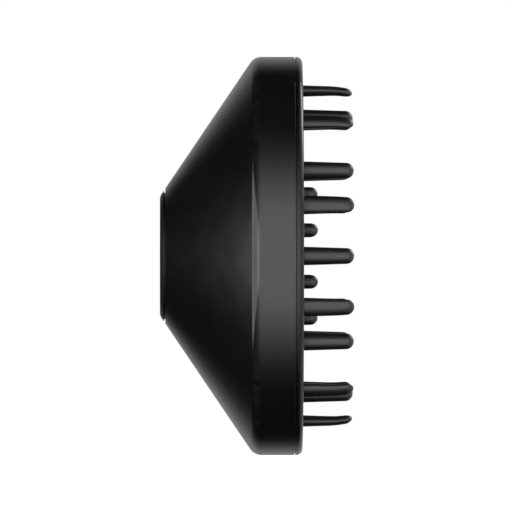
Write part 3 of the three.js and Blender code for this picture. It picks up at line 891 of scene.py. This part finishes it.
def face_plate():
    plate = Plate(*plate_profiles())
    for number, (outline, radius, degrees) in enumerate(plate_holes()):
        plate.add_hole(number, outline, radius, degrees)
    for loops, radius, degrees in plate_bosses():
        plate.add_boss(loops, radius, degrees)
    plate.add_grid(PLATE_STEP)
    return mesh_of("face_plate", plate.solid())


# ---- Prongs ----


def prong(shape, foot_x, tip_x):
    """A tapered finger with a rounded tip and a foot, about the X axis. Its lean bends it to the axis."""
    stem_x = foot_x + FOOT_HEIGHT
    round_x = tip_x - PRONG_TIP
    # Each section is (x, share of the full size, whether it is on the stem, share of the taper).
    sections = [(foot_x + x, size, False, 0.0) for x, size in FOOT_REAR]
    sections += [(stem_x + x, size, False, 0.0) for x, size in FOOT_FRONT]
    sections.append((stem_x, STEM_ROOT, True, 0.0))
    for step in range(1, PRONG_STEPS + 1):
        share = step / PRONG_STEPS
        sections.append((stem_x + (round_x - stem_x) * share, 1.0, True, share))
    for step in range(1, PRONG_STEPS + 1):
        angle = math.radians(90 * step / PRONG_STEPS)
        sections.append((round_x + PRONG_TIP * math.sin(angle), math.cos(angle), True, 1.0))
    bend_x = round_x - PRONG_BEND
    rows = []
    for x, size, on_stem, taper in sections:
        halves = [
            size * (base + (top - base) * taper if on_stem else foot)
            for foot, base, top in zip(shape["foot"], shape["base"], shape["top"])
        ]
        bend = shape["lean"] * (max(0.0, x - bend_x) / (tip_x - bend_x)) ** 2
        worn = max(0.0, (x - round_x) / PRONG_TIP)
        loop = oval(*halves, 0.0, PRONG_SIDES) if size > TINY else [(0.0, 0.0)]
        rows.append([(x, -radial + bend, tangential, worn) for radial, tangential in loop])
    return skin(rows)


def add_prongs():
    for name, shape in PRONGS.items():
        foot_x, tip_x, _ = span(f"{name}_01")
        finger = prong(shape, foot_x, tip_x)
        for i, solid in enumerate(repeated(finger, shape["at"], shape["count"], shape["first"])):
            stand_in(f"{name}_{i + 1:02d}", mesh_of(name, solid))


# ---- What holds the prongs, and the pieces around the face plate ----


def slotted_ring(node, inner_r, slots, holes=()):
    """A flat ring with rounded edges, radial slots and screw holes."""
    rear, front, _ = span(node)
    reach = (rear - 1, front + 1)
    body = ring(node, inner_r, 0.2 if front - rear > 1 else 0.1, LARGE_SIDES)
    cutters = slot_cutters(slots, reach)
    for radius, count, first in holes:
        cutters += repeated(rod(SCREW_HOLE_R, reach), radius, count, first)
    return carved(node, body, cut=cutters, edge=CUT_EDGE)


def deflector_dome():
    tip_x, front, _ = span("deflector_dome")
    depth = front - tip_x
    hollow = (depth - DEFLECTOR["wall"], DEFLECTOR["r"] - DEFLECTOR["wall"])
    hollow_end = 180 - math.degrees(math.asin(DEFLECTOR["post_r"] / hollow[1]))
    hole_x = span("centre_screw")[0] - PILOT_PLAY
    outline = ellipse(front, (depth, DEFLECTOR["r"]), 180, 90, 28)
    outline += ellipse(front, hollow, 90, hollow_end, 20)
    outline += [(front, DEFLECTOR["post_r"], 0), (front, SCREW_HOLE_R, 0)]
    outline += [(hole_x, SCREW_HOLE_R, 0), (hole_x, 0, 0)]
    return mesh_of("deflector_dome", turned(outline, SMALL_SIDES))


def centre_cap():
    seat_x, tip_x, cap_r = span("centre_cap")
    hollow_x, hollow_r = CAP_HOLLOW
    outline = [(hollow_x, 0, 0), (hollow_x, hollow_r, 0), (seat_x, hollow_r, 0), (seat_x, cap_r - 0.2, 0)]
    outline += ellipse(seat_x, (tip_x - seat_x, cap_r), 86, 0, 32)
    return mesh_of("centre_cap", turned(outline, SMALL_SIDES))


def rim_ring():
    rear, front, outer_r = span("rim_ring")
    shoulder_x = BAND_END_X + FIT / 2
    body = turned(rounded([
        (rear, RIM_SKIRT_R[0], 0.3),
        (rear, RIM_SKIRT_R[1], 0.3),
        (shoulder_x, RIM_SKIRT_R[1], 0.15),
        (shoulder_x, outer_r - RIM_GROOVE, 0.05),
        (BAND_END_X + RUN, outer_r - RIM_GROOVE, 0.05),
        (BAND_END_X + RUN, outer_r, 0.12),
        (front, outer_r, RIM_ROUND_R),
        (front, RIM_INNER_R, 0.6),
        (RIM_LIP_X, RIM_INNER_R, 0.2),
        (RIM_LIP_X, RIM_SKIRT_R[0], 0.15),
    ]))
    tab = block(SNAP_TABS["x"], SNAP_TABS["size"], 0.25)
    return carved("rim_ring", body, added=repeated(tab, SNAP_TABS["at"], SNAP_TABS["count"], 0.0))


def add_face():
    stand_in("face_plate", face_plate())
    stand_in("rim_ring", rim_ring())
    stand_in("centre_cap", centre_cap())
    stand_in("deflector_dome", deflector_dome())
    stand_in("rim_seal", mesh_of("rim_seal", ring("rim_seal", INNER_SKIRT_R[0], 0.5, LARGE_SIDES)))
    clamp_holes = [(CLAMP_SCREWS["at"], CLAMP_SCREWS["count"], CLAMP_SCREWS["first"])]
    clamp_ring = slotted_ring("prong_clamp_ring", CLAMP_RING_INNER_R, CLAMP_SLOTS, clamp_holes)
    stand_in("prong_clamp_ring", clamp_ring)
    stand_in("centre_clamp_plate", slotted_ring("centre_clamp_plate", SCREW_HOLE_R, CENTRE_CLAMP_SLOTS))
    stand_in("diffusing_screen", slotted_ring("diffusing_screen", SCREEN_INNER_R, SCREEN_SLOTS))


# ---- Screws ----


def cross(reach, half_width):
    """The outline of a cross recess."""
    quarter = [(reach, -half_width), (reach, half_width), (half_width, half_width)]
    turns = [(1, 0), (0, 1), (-1, 0), (0, -1)]
    return [(u * cos - v * sin, u * sin + v * cos) for cos, sin in turns for u, v in quarter]


def thread_radius(along, length, turn):
    """A screw shank's radius at a distance from its head, where the helix is a share of a turn away."""
    left = length - along
    fade = max(0.0, min(1.0, along / THREAD["run_in"], left / THREAD["run_out"]))
    crest = (1 - abs(2 * (turn % 1) - 1)) ** THREAD["sharpness"]
    point_length, point_end = SCREW_POINT
    point = point_end + (1 - point_end) * min(1.0, left / point_length)
    return point * (THREAD["core"] + fade * THREAD["depth"] * crest)


def screw(head_r, head, length):
    """A pan head screw with a helical thread and a cross recess. It starts at 0 and points along +X."""
    spokes = [360 * j / ROD_SIDES for j in range(ROD_SIDES)]
    rows = [[(0.0, 0.0, 0.0, 0.0)]]
    for depth, r in SCREW_HEAD:
        rows.append([(*at(depth * head, r * head_r, spoke), 0.0) for spoke in spokes])
    shank = length - head
    steps = math.ceil(shank / THREAD["pitch"] * THREAD_STEPS)
    for step in range(steps + 1):
        along = shank * step / steps
        radii = [thread_radius(along, shank, along / THREAD["pitch"] - spoke / 360) for spoke in spokes]
        rows.append([(*at(head + along, r, spoke), 0.0) for r, spoke in zip(radii, spokes)])
    rows.append([(length, 0.0, 0.0, 0.0)])
    outline = cross(SCREW_RECESS["reach"] * head_r, SCREW_RECESS["half_width"] * head_r)
    return skin(rows), prism(outline, (-1.0, SCREW_RECESS["depth"] * head))


def add_screw(node, head_r, head, forwards):
    low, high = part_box(node)
    length = (high.x - low.x) * MM
    middle = (low + high) * MM / 2
    start = low.x * MM if forwards else high.x * MM
    way = 1 if forwards else -1
    body, recess = [
        ([(start + way * x, middle.y + way * y, middle.z + z, wear) for x, y, z, wear in points], faces)
        for points, faces in screw(head_r, head, length)
    ]
    stand_in(node, carved(node, body, cut=[recess]))


def add_screws():
    for i in range(SHELL_SCREWS["count"]):
        add_screw(f"shell_screw_{i + 1}", SHELL_SCREWS["head_r"], SHELL_SCREWS["head"], False)
    for i in range(CLAMP_SCREWS["count"]):
        add_screw(f"clamp_screw_{i + 1}", CLAMP_SCREWS["head_r"], CLAMP_SCREWS["head"], True)
    add_screw("centre_screw", *CENTRE_SCREW_HEAD, False)


# ---- Stage: camera, floor and light ----

VIEW_AZIMUTH = -0.4
CAMERA_DISTANCE = 4.0
FRAME_WIDTH = 0.162  # metres across the picture at the object
SENSOR = 36.0
FLOOR_Z = -0.25
WALL = {"falloff": 3.0, "light": 4.0, "most": 2.9}
GLOW = {"y": (0.67, 0.95), "x": (-0.7, -0.15), "light": 0.5, "shaded": 0.1}
FACE_GLOW = {"x": (0.25, 0.9), "light": 0.8}
AMBIENT = 0.008
SOFTBOXES = {  # places and targets from the object's centre, and sizes, in metres
    "side_box": {"place": (-0.17, -0.196, 0), "target": (0, -0.196, 0), "size": (0.39, 0.2), "power": 0.52},
    "face_box": {"place": (0.5, 0.35, 0.35), "size": (0.35, 0.35), "power": 1.2},
    "face_fill": {"place": (0.6, 0.12, 0.15), "size": (0.4, 0.4), "power": 14.0, "glossy": False},
    "back_fill": {"place": (-0.22, 0.6, 0.08), "size": (0.4, 0.4), "power": 14.0, "glossy": False},
}


def aim(thing, location, target):
    thing.location = location
    thing.rotation_euler = (Vector(target) - Vector(location)).to_track_quat("-Z", "Y").to_euler()


def add_camera(centre):
    camera = bpy.data.objects.new("camera", bpy.data.cameras.new("camera"))
    bpy.context.scene.collection.objects.link(camera)
    camera.data.sensor_width = SENSOR
    camera.data.lens = SENSOR * CAMERA_DISTANCE / FRAME_WIDTH
    camera.data.clip_end = 50.0
    azimuth = math.radians(VIEW_AZIMUTH)
    back = Vector((math.sin(azimuth), -math.cos(azimuth), 0))
    aim(camera, centre + back * CAMERA_DISTANCE, centre)
    bpy.context.scene.camera = camera


def add_softbox(name, centre, place, size, power, target=(0, 0, 0), glossy=True):
    """A soft lamp. One that isn't glossy lights surfaces without being mirrored in them."""
    lamp = bpy.data.objects.new(name, bpy.data.lights.new(name, "AREA"))
    bpy.context.scene.collection.objects.link(lamp)
    lamp.data.shape = "RECTANGLE"
    lamp.data.size, lamp.data.size_y = size
    lamp.data.energy = power
    lamp.visible_camera = False
    lamp.visible_glossy = glossy
    aim(lamp, centre + Vector(place), centre + Vector(target))


def add_floor():
    half = 12.0
    mesh = bpy.data.meshes.new("floor")
    corners = [(-half, -half), (half, -half), (half, half), (-half, half)]
    mesh.from_pydata([(*corner, FLOOR_Z) for corner in corners], [], [(0, 1, 2, 3)])
    floor = new_object("floor", mesh)
    shader = Shader("pale_floor", Emission_Color=(1, 1, 1, 1), Emission_Strength=0.9)
    mesh.materials.append(shader.shown(grey(0.85), 0.9))
    floor.visible_glossy = False
    floor.visible_diffuse = False
    floor.visible_shadow = False


def add_world():
    """White to the camera. To the object, a wall of light behind the camera and faint glows elsewhere."""
    world = bpy.data.worlds.new("studio")
    bpy.context.scene.world = world
    world.use_nodes = True
    world.node_tree.nodes.clear()
    nodes = Nodes(world.node_tree)
    split = nodes.node("SeparateXYZ", {"Vector": nodes.node("TexCoord", {}).outputs["Generated"]})
    x, y = split.outputs["X"], split.outputs["Y"]
    towards = nodes.math("MAXIMUM", nodes.math("MULTIPLY", y, -1.0), 0.0)
    wall = nodes.math("MULTIPLY", nodes.math("POWER", towards, WALL["falloff"]), WALL["light"])
    wall = nodes.math("MINIMUM", wall, WALL["most"])
    glow = nodes.ranged(y, *GLOW["y"], (0.0, GLOW["light"]), "SMOOTHSTEP")
    glow = nodes.math("MULTIPLY", glow, nodes.ranged(x, *GLOW["x"], (GLOW["shaded"], 1.0), "SMOOTHSTEP"))
    face_glow = nodes.ranged(x, *FACE_GLOW["x"], (AMBIENT, FACE_GLOW["light"]), "SMOOTHSTEP")
    light = nodes.math("ADD", nodes.math("ADD", wall, glow), face_glow)
    studio = nodes.node("Background", {"Strength": light}).outputs["Background"]
    backdrop = nodes.node("Background", {"Color": (1, 1, 1, 1)}).outputs["Background"]
    to_camera = nodes.node("LightPath", {}).outputs["Is Camera Ray"]
    mix = nodes.node("MixShader", {"Fac": to_camera, 1: studio, 2: backdrop})
    nodes.node("OutputWorld", {"Surface": mix.outputs["Shader"]})


centre = (cad_box[0] + cad_box[1]) / 2
add_camera(centre)
add_floor()
add_world()
for name, softbox in SOFTBOXES.items():
    add_softbox(name, centre, **softbox)
bpy.context.scene.view_settings.view_transform = "Standard"

add_coupling()
add_shells()
add_face()
add_prongs()
add_screws()
